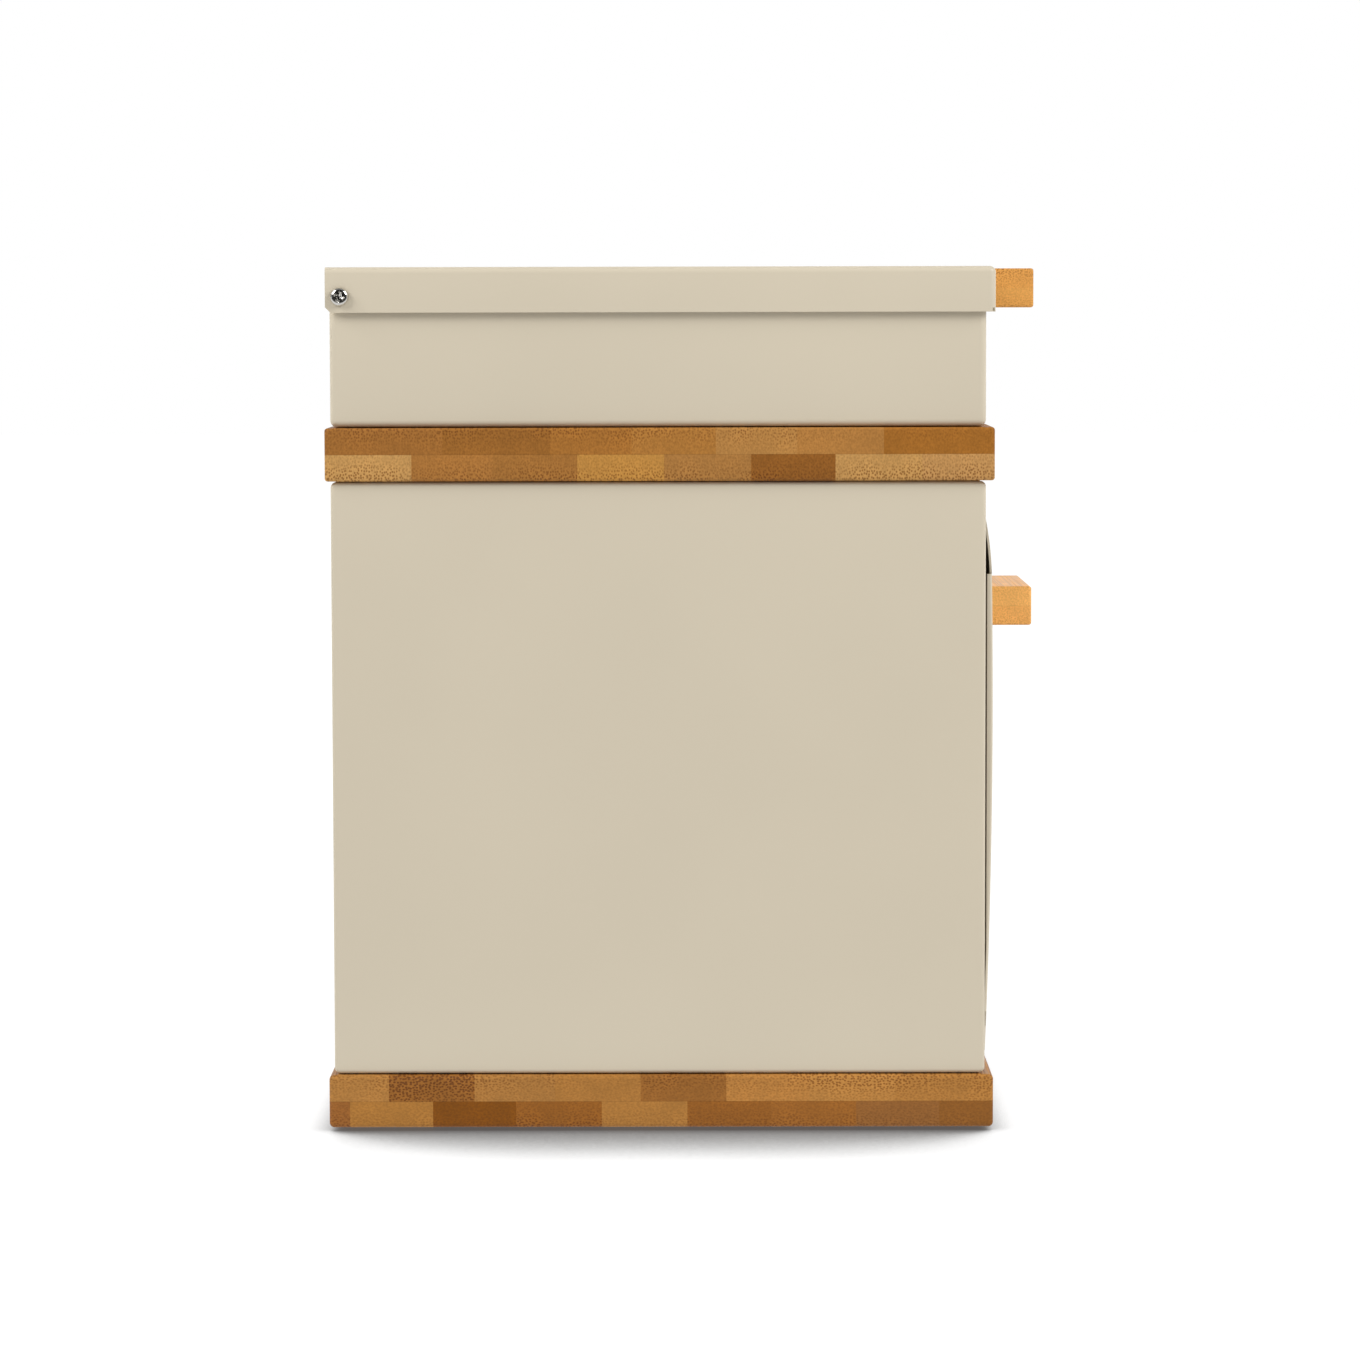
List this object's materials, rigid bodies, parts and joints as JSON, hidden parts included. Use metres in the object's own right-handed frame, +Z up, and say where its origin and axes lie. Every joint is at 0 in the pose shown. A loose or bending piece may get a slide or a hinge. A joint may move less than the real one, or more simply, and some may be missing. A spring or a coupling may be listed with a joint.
{
  "type": "bread box",
  "caption": "Two-tier steel bread box: a cabinet with a bowed drop-down front door on a bamboo base, and under a flip-up lid a shallow tray on a bamboo shelf.",
  "frame": {"origin": "on the worktop, under the middle of the whole box", "axes": "+X to the right when facing the front, -Y out of the front, +Z up"},
  "size_m": [0.3694, 0.2624, 0.3101],
  "materials": {
    "cream_steel": "semi-gloss cream powder coat",
    "board_bamboo": "satin lacquered caramelised bamboo in two plies",
    "handle_bamboo": "satin lacquered bamboo",
    "zinc_steel": "bright plated",
    "nylon": "moulded",
    "rubber": "matte",
    "magnet": "dark moulded catch with a magnet in it"
  },
  "bodies": {
    "cabinet": {"base_board": "board_bamboo", "base_screw_front_left": "zinc_steel", "base_screw_front_right": "zinc_steel", "base_screw_rear_left": "zinc_steel", "base_screw_rear_right": "zinc_steel", "cabinet_back": "cream_steel", "cabinet_ceiling": "cream_steel", "cabinet_floor": "cream_steel", "cabinet_side_left": "cream_steel", "cabinet_side_right": "cream_steel", "catch_magnet_left": "magnet", "catch_magnet_right": "magnet", "foot_pad_front_left": "rubber", "foot_pad_front_right": "rubber", "foot_pad_rear_left": "rubber", "foot_pad_rear_right": "rubber", "hinge_clip_left": "zinc_steel", "hinge_clip_right": "zinc_steel", "hinge_pin_left": "zinc_steel", "hinge_pin_right": "zinc_steel", "lid_nut_left": "zinc_steel", "lid_nut_right": "zinc_steel", "lid_pivot_screw_left": "zinc_steel", "lid_pivot_screw_right": "zinc_steel", "lid_washer_left": "nylon", "lid_washer_right": "nylon", "shelf_board": "board_bamboo", "shelf_screw_front_left": "zinc_steel", "shelf_screw_front_right": "zinc_steel", "shelf_screw_rear_left": "zinc_steel", "shelf_screw_rear_right": "zinc_steel", "tray": "cream_steel", "tray_screw_front_left": "zinc_steel", "tray_screw_front_right": "zinc_steel", "tray_screw_rear_left": "zinc_steel", "tray_screw_rear_right": "zinc_steel"},
    "door": {"door_handle": "handle_bamboo", "door_handle_screw_left": "zinc_steel", "door_handle_screw_right": "zinc_steel", "door_panel": "cream_steel"},
    "lid": {"lid": "cream_steel", "lid_bumper_left": "rubber", "lid_bumper_right": "rubber", "lid_handle": "handle_bamboo", "lid_handle_screw_left": "zinc_steel", "lid_handle_screw_right": "zinc_steel"}
  },
  "joints": [
    {"name": "door_hinge", "type": "hinge", "parent": "cabinet", "child": "door", "pos_m": [0, -0.09975, 0.0331], "axis": [1, 0, 0], "range_deg": [0, 90]},
    {"name": "lid_hinge", "type": "hinge", "parent": "cabinet", "child": "lid", "pos_m": [0, 0.12535, 0.2996], "axis": [-1, 0, 0], "range_deg": [0, 100]}
  ]
}
